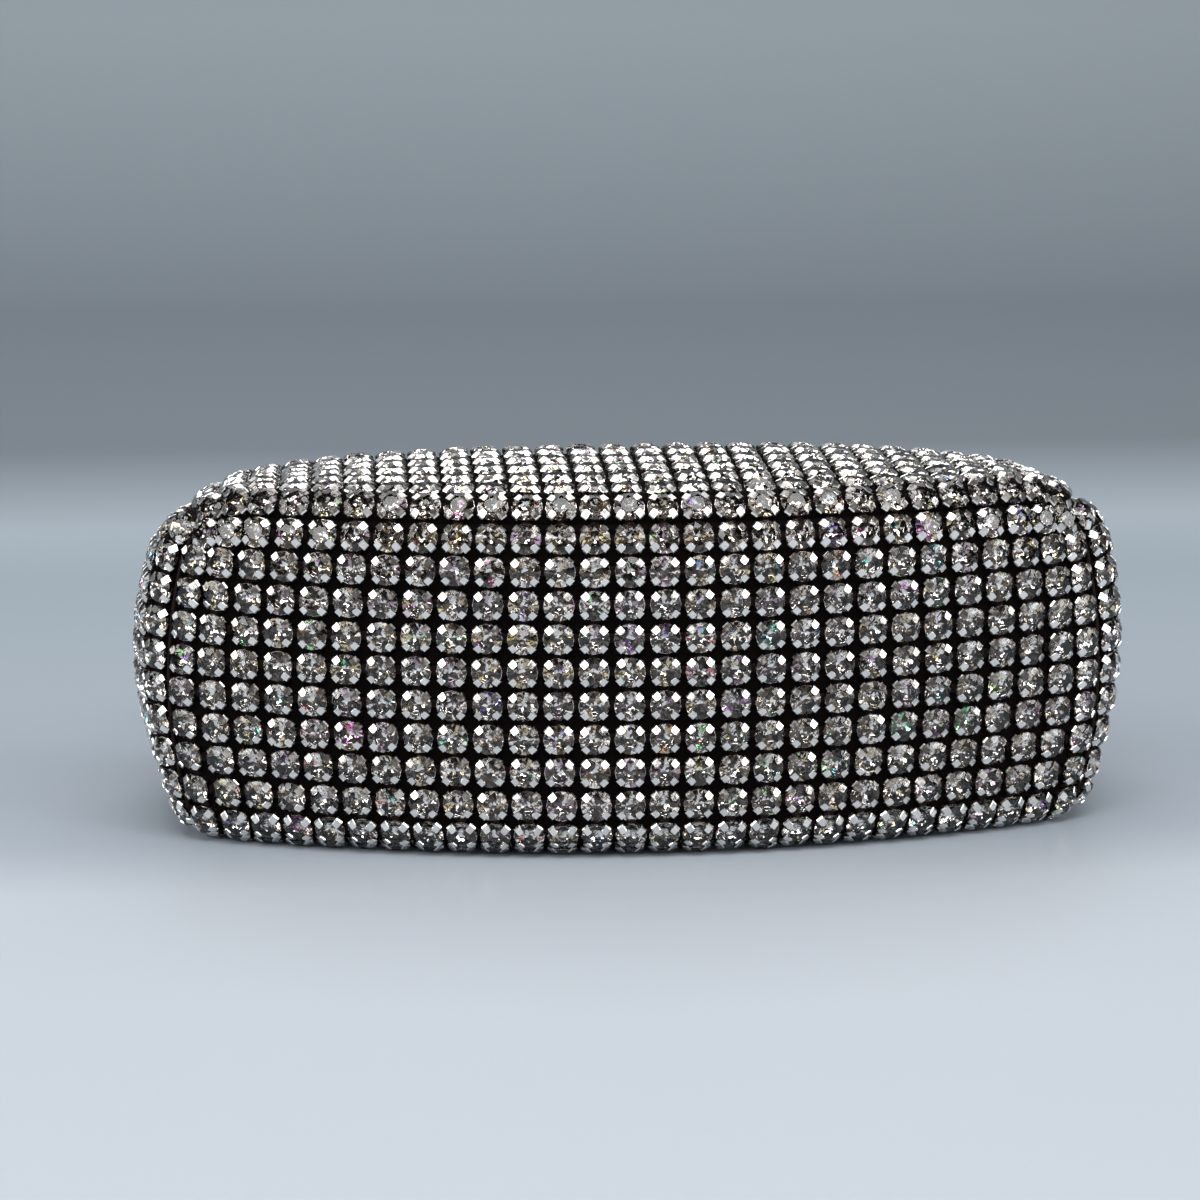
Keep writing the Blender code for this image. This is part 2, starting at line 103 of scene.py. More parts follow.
@dataclass
class PouchShape:
    """The surface of the lying body, with the sizes of the solid model.

    Directions on it are measured over a small probe to each side, given as a share.
    """

    width: float = 0.205
    depth: float = 0.130
    thickness: float = 0.076
    side_bulge: float = 0.01
    mouth_taper: float = 0.006
    base_bow: float = 0.022
    edge_drop: float = 0.0045
    end_drop: float = 0.0085
    swell_depth: float = 0.043
    base_edge_round: float = 0.0085
    low_corner_round: float = 0.01
    top_corner_round: float = 0.0175
    low_edge_round: float = 0.006
    top_edge_round: float = 0.0155
    mouth_edge_round: float = 0.008
    base_bulge_share: float = 0.4
    mouth_thickness: float = 0.0176
    hinge_depth: float = 0.098
    hinge_height: float = 0.0088
    fold_start: float = 0.084
    band_start: float = 0.106
    side_end: float = 0.09
    columns: int = 28
    rows: int = 10
    front_rows: int = 22
    back_rows: int = 18
    side_columns: int = 11
    steps: int = 241
    probe: float = 0.002
    half: float = field(init=False)
    tables: dict[str, Array] = field(init=False)
    side_share: float = field(init=False)

    def __post_init__(self) -> None:
        """Measures the five lines that spread the stones evenly."""
        self.half = self.width / 2.0 - self.side_bulge
        shares = np.linspace(0.0, 1.0, self.steps)
        zero, one = np.zeros_like(shares), np.ones_like(shares)
        lines = {
            "across": self.body(shares, zero, one / 2.0),
            "up": self.body(zero, zero, shares),
            "front": self.body(zero, shares, one),
            "back": self.body(zero, shares, zero),
            "side": self.body(one, shares, one / 2.0),
        }
        self.tables = {"shares": shares}
        for name, points in lines.items():
            lengths = lengths_along(points)
            self.tables[name] = lengths / lengths[-1]
        self.side_share = float(np.interp(self.side_end / self.depth, shares, self.tables["side"]))

    def short_of_swell(self, depth: Array) -> Array:
        """How far the body is from its full swell, from 1 at the base down to 0."""
        return 1.0 - np.clip(depth, 0.0, self.swell_depth) / self.swell_depth

    def towards(self, depth: Array, end: float) -> Array:
        """The share of the way from the full swell to a greater depth."""
        return smooth((depth - self.swell_depth) / (end - self.swell_depth))

    def front_height(self, depth: Array) -> Array:
        """The height of the front panel on the centre line."""
        rise = self.short_of_swell(depth)
        swell = self.thickness - self.edge_drop * rise * rise
        return swell + (self.mouth_thickness - swell) * self.towards(depth, self.band_start)

    def side_reach(self, depth: Array, height_share: Array) -> Array:
        """How far a side stands from the centre line."""
        missing = self.short_of_swell(depth)
        taper = self.towards(depth, self.hinge_depth)
        near = 1.0 - self.base_bulge_share * missing * missing
        swell = np.where(depth < self.swell_depth, near, 1.0 - taper)
        across = 2.0 * height_share - 1.0
        bulge = self.side_bulge * swell * (1.0 - across * across)
        return self.half - self.mouth_taper * taper + bulge

    def edge_radii(self, depth: Array, height: Array) -> Array:
        """How far the body rounds off, along X, depth and height."""
        upper = smooth(height / self.thickness)
        corner = self.low_corner_round + (self.top_corner_round - self.low_corner_round) * upper
        edge = self.low_edge_round + (self.top_edge_round - self.low_edge_round) * upper
        edge = edge + (self.mouth_edge_round - edge) * self.towards(depth, self.hinge_depth)
        along_x = corner + (edge - corner) * smooth(depth / (2.0 * corner))
        upright = np.minimum(edge * self.thickness / self.front_height(depth), self.thickness / 2)
        return np.stack((along_x, np.full_like(along_x, self.base_edge_round), upright), axis=-1)

    def rounded(self, points: Array) -> Array:
        """Carries points on the faces of a sharp box to the box with rounded edges."""
        radii = self.edge_radii(points[..., 1], points[..., 2])
        low = np.array((-self.half, 0.0, 0.0)) + radii
        top = np.array((self.half, self.depth + self.base_edge_round, self.thickness))
        core = np.maximum(low, np.minimum(top - radii, points))
        away = (points - core) / radii
        return core + radii * away / np.linalg.norm(away, axis=-1, keepdims=True)

    def bent(self, points: Array) -> Array:
        """Carries points of the plain rounded box to the swollen body."""
        width_share = points[..., 0] / self.half
        depth = points[..., 1]
        height_share = points[..., 2] / self.thickness
        top = self.front_height(depth)
        drop = self.end_drop * np.abs(width_share) ** 3 * smooth(depth / self.swell_depth)
        drop = drop * (top - self.mouth_thickness) / (self.thickness - self.mouth_thickness)
        fade = np.maximum(0.0, 1.0 - depth / self.fold_start)
        bow = self.base_bow * width_share * width_share * fade
        x = width_share * self.side_reach(depth, height_share)
        return np.stack((x, depth + bow - self.depth / 2.0, height_share * (top - drop)), axis=-1)

    def body(self, across: Array, depth_share: Array, up: Array) -> Array:
        """Points of the body, from shares of the plain box.

        Args:
            across: From -1 at the left end to 1 at the right end.
            depth_share: From 0 at the base to 1 at the mouth.
            up: From 0 where it lies to 1 on top.

        Returns:
            The points, in rows of three.
        """
        across, depth_share, up = np.broadcast_arrays(across, depth_share, up)
        box = (across * self.half, depth_share * self.depth, up * self.thickness)
        return self.bent(self.rounded(np.stack(box, axis=-1).astype(float)))

    def even(self, share: Array, line: str) -> Array:
        """The share of the plain box at a share of the length of a line."""
        found = np.interp(np.abs(share), self.tables[line], self.tables["shares"])
        return np.sign(share) * found

    def at(self, face: Face, first: Array, second: Array) -> Array:
        """Points of a face at its two shares, evenly along the fabric.

        Args:
            face: The face.
            first: Across, from -1 to 1, or up a side, from 0 to 1.
            second: Up the base, or towards the mouth, from 0 to 1.

        Returns:
            The points, in rows of three.
        """
        if face.is_side:
            hand = -1.0 if face is Face.LEFT else 1.0
            depth_share = self.even(second * self.side_share, "side")
            return self.body(hand, depth_share, self.even(first, "up"))
        across = self.even(first, "across")
        if face is Face.BASE:
            return self.body(across, 0.0, self.even(second, "up"))
        up = 1.0 if face is Face.FRONT else 0.0
        return self.body(across, self.even(second, face.value), up)

    def counts(self, face: Face) -> tuple[int, int]:
        """How many stones lie along the two shares of a face."""
        return {
            Face.BASE: (self.columns, self.rows),
            Face.FRONT: (self.columns, self.front_rows),
            Face.BACK: (self.columns, self.back_rows),
        }.get(face, (self.rows, self.side_columns))

    def lowest(self, face: Face) -> float:
        """The least value of a face's first share."""
        return 0.0 if face.is_side else -1.0

    def firsts(self, face: Face, shares: Array) -> Array:
        """A face's first shares, from shares of the way from its least to its greatest."""
        return self.lowest(face) + (1.0 - self.lowest(face)) * shares

    def axes(self, face: Face, first: Array, second: Array) -> tuple[Array, Array]:
        """Points of a face and the directions along and out of it.

        Args:
            face: The face.
            first: Its first share at each point.
            second: Its second share at each point.

        Returns:
            The points, and for each a matrix whose columns run along, up and out.
        """
        step, least = self.probe, self.lowest(face)
        ahead, behind = np.minimum(1.0, first + step), np.maximum(least, first - step)
        over, under = np.minimum(1.0, second + step), np.maximum(0.0, second - step)
        along = self.at(face, ahead, second) - self.at(face, behind, second)
        upward = self.at(face, first, over) - self.at(face, first, under)
        out = np.cross(along, upward)
        if face.is_mirrored:
            out = -out
        out /= np.linalg.norm(out, axis=-1, keepdims=True)
        along /= np.linalg.norm(along, axis=-1, keepdims=True)
        upward = np.cross(out, along)
        return self.at(face, first, second), np.stack((along, upward, out), axis=-1)


# Meshes


@dataclass
class Form:
    """Points and faces of one small form, with a material number for each face."""

    curved: bool = False
    points: list[Triple] = field(default_factory=list)
    faces: list[tuple[int, ...]] = field(default_factory=list)
    slots: list[int] = field(default_factory=list)

    def add_ring(self, count: int, radius: float, height: float, turn: float = 0.0) -> list[int]:
        """Adds a ring of points round the upright axis and returns their numbers."""
        first = len(self.points)
        for i in range(count):
            angle = 2.0 * math.pi * i / count + turn
            self.points.append((radius * math.cos(angle), radius * math.sin(angle), height))
        return list(range(first, first + count))

    def add_point(self, x: float, y: float, z: float) -> int:
        """Adds one point and returns its number."""
        self.points.append((x, y, z))
        return len(self.points) - 1

    def add_face(self, corners: tuple[int, ...], slot: int = 0) -> None:
        """Adds one face with its material number."""
        self.faces.append(corners)
        self.slots.append(slot)

    def band(self, lower: list[int], upper: list[int]) -> None:
        """Joins two rings of the same count by four-sided faces that look outward."""
        count = len(lower)
        for i in range(count):
            j = (i + 1) % count
            self.add_face((lower[i], lower[j], upper[j], upper[i]))

    def skin(self, rings: list[list[int]]) -> None:
        """Joins rings of the same count in their order, and closes both ends."""
        for lower, upper in zip(rings, rings[1:]):
            self.band(lower, upper)
        self.add_face(tuple(reversed(rings[0])))
        self.add_face(tuple(rings[-1]))


def mesh_object(
    name: str,
    points: Array,
    loops: Array,
    starts: Array,
    slots: Array,
    materials: list[Material],
    shaded_smooth: bool,
) -> Object:
    """Makes an object of plain arrays.

    Args:
        name: Its name.
        points: Its points, in rows of three.
        loops: The numbers of the points round each face, one face after another.
        starts: Where each face begins in loops.
        slots: Each face's material number.
        materials: Its materials.
        shaded_smooth: Whether its faces are shaded as one curved surface.

    Returns:
        The object, linked to the scene.
    """
    mesh = bpy.data.meshes.new(name)
    mesh.vertices.add(len(points))
    mesh.vertices.foreach_set("co", np.asarray(points, dtype=np.float32).ravel())
    mesh.loops.add(len(loops))
    mesh.loops.foreach_set("vertex_index", np.asarray(loops, dtype=np.int32))
    mesh.polygons.add(len(starts))
    mesh.polygons.foreach_set("loop_start", np.asarray(starts, dtype=np.int32))
    mesh.polygons.foreach_set("material_index", np.asarray(slots, dtype=np.int32))
    mesh.polygons.foreach_set("use_smooth", np.full(len(starts), shaded_smooth))
    mesh.update(calc_edges=True)
    mesh.validate()
    for material in materials:
        mesh.materials.append(material)
    item = bpy.data.objects.new(name, mesh)
    bpy.context.scene.collection.objects.link(item)
    return item


def repeated(
    name: str,
    form: Form,
    places: Array,
    turns: Array,
    materials: list[Material],
    slots: Array | None = None,
) -> Object:
    """One object that holds a form many times over.

    Args:
        name: The object's name.
        form: What is repeated.
        places: Where each one stands, in rows of three.
        turns: A matrix for each one, with its own axes in columns.
        materials: The form's materials.
        slots: The material number of each face of each one, if they differ.

    Returns:
        The object.
    """
    local = np.array(form.points)
    points = np.einsum("nij,kj->nki", turns, local) + places[:, None, :]
    flat = np.concatenate([np.array(corners) for corners in form.faces])
    sizes = np.array([len(corners) for corners in form.faces])
    many = len(places)
    loops = (flat[None, :] + len(local) * np.arange(many)[:, None]).ravel()
    starts = np.concatenate(([0], np.cumsum(np.tile(sizes, many))[:-1]))
    if slots is None:
        slots = np.tile(np.array(form.slots), (many, 1))
    points = points.reshape(-1, 3)
    return mesh_object(name, points, loops, starts, slots.ravel(), materials, form.curved)


def single(name: str, form: Form, material: Material) -> Object:
    """One object that holds a form once, in its own place."""
    return repeated(name, form, np.zeros((1, 3)), np.eye(3)[None], [material])


def thin_sheet(
    name: str,
    outer: Array,
    inner: Array,
    kept: Array,
    material: Material,
) -> Object:
    """A closed thin sheet between two grids of points, with holes.

    Args:
        name: The object's name.
        outer: The outer grid, as rows of points.
        inner: The inner grid, of the same size.
        kept: Whether each cell of the grid is cloth rather than a hole.
        material: Its material.

    Returns:
        The object.
    """
    rows, columns = outer.shape[:2]
    count = rows * columns
    numbers = np.arange(count).reshape(rows, columns)
    corners = (numbers[:-1, :-1], numbers[:-1, 1:], numbers[1:, 1:], numbers[1:, :-1])
    cells = np.stack(corners, axis=-1)[kept]
    beside = np.pad(kept, 1)
    neighbours = (beside[:-2, 1:-1], beside[1:-1, 2:], beside[2:, 1:-1], beside[1:-1, :-2])
    faces = [cells, cells[:, ::-1] + count]
    for i, neighbour in enumerate(neighbours):
        open_edge = kept & ~neighbour
        first, second = corners[i][open_edge], corners[(i + 1) % 4][open_edge]
        faces.append(np.stack((second, first, first + count, second + count), axis=-1))
    joined = np.concatenate(faces)
    points = np.concatenate((outer.reshape(-1, 3), inner.reshape(-1, 3)))
    starts = np.arange(len(joined)) * 4
    return mesh_object(
        name, points, joined.ravel(), starts, np.zeros(len(joined)), [material], True
    )


# Finishes


@dataclass
class Sockets:
    """Short ways to make and join shader nodes.

    A value is one number, the three numbers of a colour, or another node's output.
    """

    tree: NodeTree

    def join(self, value: object, socket: NodeSocket) -> None:
        """Gives an input its value.

        Args:
            value: The value.
            socket: The input.
        """
        if isinstance(value, NodeSocket):
            self.tree.links.new(value, socket)
        elif isinstance(value, tuple):
            socket.default_value = (*value, 1.0)
        else:
            socket.default_value = value

    def node(self, kind: str, inputs: dict | None = None, **settings: object) -> Node:
        """Makes a node.

        Args:
            kind: The node's type.
            inputs: Values for its inputs, by number or name.
            settings: Its own settings, by name.

        Returns:
            The node.
        """
        made = self.tree.nodes.new(kind)
        for key, value in settings.items():
            setattr(made, key, value)
        for key, value in (inputs or {}).items():
            self.join(value, made.inputs[key])
        return made

    def math(self, operation: str, first: object, second: object = 0.0) -> NodeSocket:
        """The result of one step of arithmetic with two values."""
        return self.node("ShaderNodeMath", {0: first, 1: second}, operation=operation).outputs[0]

    def mixed(self, share: object, first: object, second: object) -> NodeSocket:
        """The colour between two others that has the given share of the second."""
        inputs = {0: share, 6: first, 7: second}
        return self.node("ShaderNodeMix", inputs, data_type="RGBA").outputs[2]

    def group(self, name: str, inputs: dict) -> Node:
        """A shared group, with values for its inputs."""
        return self.node("ShaderNodeGroup", inputs, node_tree=bpy.data.node_groups[name])

    def place(self) -> NodeSocket:
        """The place on the object."""
        return self.node("ShaderNodeTexCoord").outputs["Object"]

    def noise(self, place: NodeSocket, scale: object, detail: float) -> NodeSocket:
        """Soft random patches at a place, of a given fineness and number of finer layers."""
        inputs = {"Vector": place, "Scale": scale, "Detail": detail}
        return self.node("ShaderNodeTexNoise", inputs).outputs[0]


def new_group(
    name: str, numbers: dict[str, float], outputs: tuple[str, ...]
) -> tuple[Sockets, Node, Node]:
    """An empty node group with named inputs and outputs.

    Args:
        name: The group's name.
        numbers: Its inputs and their usual values.
        outputs: Its outputs' names.

    Returns:
        A helper on its tree, and the nodes of its inputs and its outputs.
    """
    tree = bpy.data.node_groups.new(name, "ShaderNodeTree")
    for key, value in numbers.items():
        socket = tree.interface.new_socket(key, in_out="INPUT", socket_type="NodeSocketFloat")
        socket.default_value = value
    for key in outputs:
        tree.interface.new_socket(key, in_out="OUTPUT", socket_type="NodeSocketFloat")
    made = Sockets(tree)
    return made, made.node("NodeGroupInput"), made.node("NodeGroupOutput")


# How much the crossed waves of the threads count, and the loose fibres' fineness and layers
WAVE_SHARE = 0.3
FIBRE_SCALE = 900.0
FIBRE_DETAIL = 2.0


def weave_group() -> None:
    """Makes threads that cross over and under, as a height and a mask of loose fibres."""
    numbers = {"Threads per metre": 2500.0, "Fibre": 0.5}
    made, given, out = new_group("weave", numbers, ("Height", "Fibres"))
    place = made.place()
    parts = made.node("ShaderNodeSeparateXYZ", {0: place})
    turns = made.math("MULTIPLY", given.outputs["Threads per metre"], 2.0 * math.pi)
    x, y, z = (made.math("SINE", made.math("MULTIPLY", way, turns)) for way in parts.outputs)
    total = made.math("MULTIPLY", x, y)
    for first, second in ((x, z), (y, z)):
        total = made.math("ADD", total, made.math("MULTIPLY", first, second))
    made.join(made.math("MULTIPLY", total, WAVE_SHARE), out.inputs["Height"])
    fibres = made.noise(place, FIBRE_SCALE, FIBRE_DETAIL)
    made.join(made.math("MULTIPLY", fibres, given.outputs["Fibre"]), out.inputs["Fibres"])


# Each mask of the wear, how much finer than the patches it is, and its layers. What is below the
# start is left clean.
WEAR_MASKS = (("Dull", 1.0, 3.0), ("Marks", 14.0, 1.0))
WEAR_START = 0.35


def wear_group() -> None:
    """Makes dull patches and fine marks on metal, as two masks."""
    numbers = {"Patch size": 90.0, "Strength": 0.5}
    made, given, out = new_group("metal wear", numbers, ("Dull", "Marks"))
    place = made.place()
    for name, fineness, detail in WEAR_MASKS:
        size = made.math("MULTIPLY", given.outputs["Patch size"], fineness)
        patches = made.math("SUBTRACT", made.noise(place, size, detail), WEAR_START)
        share = made.math("MULTIPLY", patches, given.outputs["Strength"])
        made.join(made.math("MAXIMUM", share, 0.0), out.inputs[name])


@dataclass(frozen=True)
class Finish:
    """A plain shader with a colour, which the other finishes start from."""

    name: str
    colour: Triple
    roughness: float
    metallic: float = 0.0

    def start(self) -> tuple[Material, Sockets, Node]:
        """Makes the material, a helper on its tree, and its shader with the plain values."""
        material = bpy.data.materials.new(self.name)
        material.use_nodes = True
        shader = material.node_tree.nodes["Principled BSDF"]
        shader.inputs["Base Color"].default_value = (*self.colour, 1.0)
        shader.inputs["Roughness"].default_value = self.roughness
        shader.inputs["Metallic"].default_value = self.metallic
        return material, Sockets(material.node_tree), shader


@dataclass(frozen=True)
class Crystal(Finish):
    """Clear cut glass."""

    ior: float = 1.56

    def build(self) -> Material:
        """Makes the material."""
        material, _, shader = self.start()
        shader.inputs["Transmission Weight"].default_value = 1.0
        shader.inputs["IOR"].default_value = self.ior
        return material


@dataclass(frozen=True)
class Foil(Finish):
    """The mirror behind a stone, with patches of painted shade and a few painted coloured glints."""

    # The painted shade: how far it darkens the foil, towards which colour, how fine its patches are,
    # where they start and how sharply
    painted_shade_limit: float = 0.2
    painted_shade_colour: Triple = (0.05, 0.045, 0.04)
    painted_shade_scale: float = 1500.0
    painted_shade_start: float = 0.5
    painted_shade_contrast: float = 6.0
    # The painted coloured glints: how fine their cells are, what share of the cells they take, and
    # how strong their colour is
    glint_scale: float = 900.0
    glint_share: float = 0.03
    glint_saturation: float = 0.65

    def build(self) -> Material:
        """Makes the material."""
        material, nodes, shader = self.start()
        place = nodes.place()
        # Painted shade: noise patches darken the foil's colour
        shade_noise = nodes.math("SUBTRACT", nodes.noise(place, self.painted_shade_scale, 1.0), self.painted_shade_start)
        dark = nodes.math("MAXIMUM", nodes.math("MULTIPLY", shade_noise, self.painted_shade_contrast), 0.0)
        dark = nodes.math("MINIMUM", dark, self.painted_shade_limit)
        grey = nodes.mixed(dark, self.colour, self.painted_shade_colour)
        # Painted coloured glints: a rare cell takes a bright colour of random hue
        spots = nodes.node("ShaderNodeTexVoronoi", {"Vector": place, "Scale": self.glint_scale})
        parts = nodes.node("ShaderNodeSeparateColor", {0: spots.outputs["Color"]})
        colour = {0: parts.outputs[1], 1: self.glint_saturation, 2: 1.0}
        hue = nodes.node("ShaderNodeCombineColor", colour, mode="HSV")
        rare = nodes.math("LESS_THAN", parts.outputs[0], self.glint_share)
        nodes.join(nodes.mixed(rare, grey, hue.outputs[0]), shader.inputs["Base Color"])
        return material


@dataclass(frozen=True)
class Plated(Finish):
    """Plated metal with dull patches and fine marks."""

    dull: Triple = (0.3, 0.3, 0.3)
    wear: float = 0.6
    patch: float = 90.0

    def build(self) -> Material:
        """Makes the material."""
        material, nodes, shader = self.start()
        group = nodes.group("metal wear", {"Patch size": self.patch, "Strength": self.wear})
        colour = nodes.mixed(group.outputs["Dull"], self.colour, self.dull)
        nodes.join(colour, shader.inputs["Base Color"])
        rough = nodes.math("ADD", group.outputs["Marks"], self.roughness)
        nodes.join(rough, shader.inputs["Roughness"])
        return material


@dataclass(frozen=True)
class Cloth(Finish):
    """Woven cloth, with loose fibres of another colour."""

    fibre: Triple = (0.05, 0.03, 0.03)
    threads: float = 2500.0
    relief: float = 0.4
    relief_height: float = 0.0002
    sheen: float = 0.0
    shine: float = 0.5

    def build(self) -> Material:
        """Makes the material."""
        material, nodes, shader = self.start()
        group = nodes.group("weave", {"Threads per metre": self.threads})
        colour = nodes.mixed(group.outputs["Fibres"], self.colour, self.fibre)
        nodes.join(colour, shader.inputs["Base Color"])
        inputs = {
            "Strength": self.relief,
            "Distance": self.relief_height,
            "Height": group.outputs["Height"],
        }
        bump = nodes.node("ShaderNodeBump", inputs)
        nodes.join(bump.outputs[0], shader.inputs["Normal"])
        shader.inputs["Sheen Weight"].default_value = self.sheen
        shader.inputs["Specular IOR Level"].default_value = self.shine
        return material


@dataclass
class Finishes:
    """Every material of the pouch."""

    crystal: Material
    foils: list[Material]
    cup: Material
    netting: Material
    satin: Material
    steel: Material
    magnet: Material
    board: Material
    thread: Material

    @classmethod
    def build(cls) -> "Finishes":
        """Makes the shared groups and all materials."""
        weave_group()
        wear_group()
        return cls(
            crystal=Crystal("crystal", (1.0, 1.0, 1.0), 0.0).build(),
            # The foil in four copies: bright silver, a dark copy that paints shade, and straw and
            # violet copies that paint coloured glints
            foils=[
                Foil("bright foil", (0.99, 0.96, 0.935), 0.015, 1.0).build(),
                Foil("dark foil", (0.10, 0.085, 0.078), 0.05, 1.0, glint_share=0.0).build(),
                Foil("straw foil", (0.72, 0.62, 0.42), 0.04, 1.0).build(),
                Foil("violet foil", (0.56, 0.44, 0.52), 0.04, 1.0).build(),
            ],
            cup=Plated("cup silver", (0.94, 0.92, 0.89), 0.12, 1.0).build(),
            netting=Cloth("black netting", (0.0015, 0.0013, 0.0015), 1.0, fibre=(0.012, 0.005, 0.004),
                          shine=0.12).build(),
            satin=Cloth("black satin", (0.012, 0.012, 0.014), 0.34, fibre=(0.03, 0.03, 0.034),
                        threads=5200.0, relief=0.15, sheen=0.3).build(),
            steel=Plated("frame nickel", (0.66, 0.65, 0.63), 0.3, 1.0, patch=240.0).build(),
            magnet=Plated("magnet nickel", (0.72, 0.72, 0.73), 0.2, 1.0, patch=160.0).build(),
            board=Cloth("grey board", (0.09, 0.085, 0.08), 0.85, fibre=(0.2, 0.19, 0.17),
                        threads=900.0, relief=0.2).build(),
            thread=Cloth("black thread", (0.009, 0.005, 0.0045), 0.8, fibre=(0.03, 0.012, 0.01),
                         threads=4000.0, shine=0.2).build(),
        )


# The stones and their cups


@dataclass
class StoneForm:
    """A round cut stone, seen from above its table. Its top is at height 0."""

    radius: float = 0.00298
    table_radius: float = 0.00166
    waist_radius: float = 0.00228
    crown_height: float = 0.00070
    girdle_height: float = 0.00006
    low_radius: float = 0.00125
    slope: float = math.radians(41)
    tip_height: float = -0.0027
    lowest: float = -0.00285

    def build(self) -> Form:
        """Cuts the facets: crown and girdle in glass, the underside in foil."""
        form = Form()
        eighth = math.pi / 8.0
        fall = self.crown_height / (self.radius - self.table_radius)
        drop = (self.waist_radius * math.cos(eighth) - self.table_radius) * fall
        table = form.add_ring(8, self.table_radius, 0.0)
        waist = form.add_ring(8, self.waist_radius, -drop, eighth)
        girdle = form.add_ring(16, self.radius, -self.crown_height)
        bottom = -self.crown_height - self.girdle_height
        under = form.add_ring(16, self.radius, bottom)
        rise = math.tan(self.slope)
        depth = bottom - (self.radius - self.low_radius * math.cos(eighth)) * rise
        facets = form.add_ring(8, self.low_radius, depth, eighth)
        tip_radius = self.radius - (bottom - self.tip_height) / rise
        tip = form.add_ring(8, tip_radius, self.tip_height)
        point = form.add_point(0.0, 0.0, self.lowest)
        form.add_face(tuple(table))
        for i in range(8):
            after, before = (i + 1) % 8, (i - 1) % 8
            left, mid, right = 2 * i, 2 * i + 1, (2 * i + 2) % 16
            form.add_face((table[i], waist[i], table[after]))
            form.add_face((table[i], waist[before], girdle[left], waist[i]))
            form.add_face((waist[i], girdle[left], girdle[mid]))
            form.add_face((waist[i], girdle[mid], girdle[right]))
            form.add_face((tip[i], facets[i], under[left], facets[before]), 1)
            form.add_face((tip[i], tip[after], facets[i]), 1)
            form.add_face((point, tip[after], tip[i]), 1)
            form.add_face((facets[i], under[mid], under[left]), 1)
            form.add_face((facets[i], under[right], under[mid]), 1)
        form.band(under, girdle)
        return form


@dataclass
class CupForm:
    """A cup with four prongs that fold over the stone's edge. The stone's top is at height 0.

    A prong's path runs from its foot to its tip. It gives the distance from the middle, the height
    and the share of the prong's width. Its section gives points across and through it.
    """

    rim_radius: float = 0.00304
    wall: float = 0.0001
    rim_height: float = -0.00105
    foot_radius: float = 0.0021
    foot_height: float = -0.00288
    hollow_radius: float = 0.00075
    hollow_height: float = -0.00286
    sides: int = 16
    prong_width: float = 0.00155
    prong_thickness: float = 0.00026
    prong_path: tuple[Triple, ...] = (
        (0.00270, -0.00235, 0.6),
        (0.00318, -0.00135, 0.9),
        (0.00327, -0.00092, 1.0),
        (0.00312, -0.00070, 1.0),
        (0.00210, -0.00009, 0.96),
        (0.00190, 0.00001, 0.66),
    )
    prong_section: tuple[tuple[float, int], ...] = (
        (-0.9, 1), (0.9, 1), (1.0, 0), (0.9, -1), (-0.9, -1), (-1.0, 0)
    )

    def build(self) -> Form:
        """Makes the cup and its prongs."""
        form = Form(curved=True)
        self.add_cup(form)
        for corner in range(4):
            self.add_prong(form, math.pi / 4.0 + corner * math.pi / 2.0)
        return form

    def add_cup(self, form: Form) -> None:
        """Adds the thin-walled cup under the stone."""
        rim = form.add_ring(self.sides, self.rim_radius, self.rim_height)
        foot = form.add_ring(self.sides, self.foot_radius, self.foot_height)
        lip = form.add_ring(self.sides, self.rim_radius - self.wall, self.rim_height)
        inside = form.add_ring(self.sides, self.hollow_radius, self.hollow_height)
        form.band(foot, rim)
        form.band(rim, lip)
        form.band(lip, inside)
        form.add_face(tuple(inside))
        form.add_face(tuple(reversed(foot)))

    def add_prong(self, form: Form, angle: float) -> None:
        """Adds one bent prong.

        Args:
            form: What it is added to.
            angle: Where it stands round the stone.
        """
        along = np.array((math.cos(angle), math.sin(angle)))
        aside = np.array((-along[1], along[0]))
        path = self.prong_path
        rings = []
        for index, (radius, height, share) in enumerate(path):
            before = path[max(0, index - 1)]
            after = path[min(len(path) - 1, index + 1)]
            way = np.array((after[0] - before[0], after[1] - before[1]))
            way /= np.linalg.norm(way)
            thick = np.array((way[1], -way[0])) * self.prong_thickness / 2.0
            half = self.prong_width * share / 2.0
            ring = []
            for side, outward in self.prong_section:
                x, y = along * (radius + outward * thick[0]) + aside * half * side
                ring.append(form.add_point(x, y, height + outward * thick[1]))
            rings.append(ring)
        form.skin(rings)


@dataclass
class TieForm:
    """The short bundles of thread that hold a cup to its four neighbours."""

    near: float = 0.0027
    far: float = 0.00352
    width: float = 0.0019
    flat_share: float = 0.6
    upper: float = -0.00175
    lower: float = -0.00215

    def build(self) -> Form:
        """Makes the four ties as closed blocks with a rounded back."""
        form = Form()
        flat, upper, lower = self.flat_share, self.upper, self.lower
        section = ((-1.0, lower), (-flat, upper), (0.0, upper), (flat, upper), (1.0, lower))
        for quarter in range(4):
            angle = quarter * math.pi / 2.0
            cosine, sine = math.cos(angle), math.sin(angle)
            rings = []
            for reach in (self.near, self.far):
                ring = []
                for side, height in section:
                    aside = side * self.width / 2.0
                    x, y = cosine * reach - sine * aside, sine * reach + cosine * aside
                    ring.append(form.add_point(x, y, height))
                rings.append(ring)
            form.skin(rings[::-1])
        return form


# The numbers of the two tinted foil copies that paint coloured glints, after the bright foil and
# the dark copy that paints shade
STRAW_GLINT = 2
VIOLET_GLINT = 3


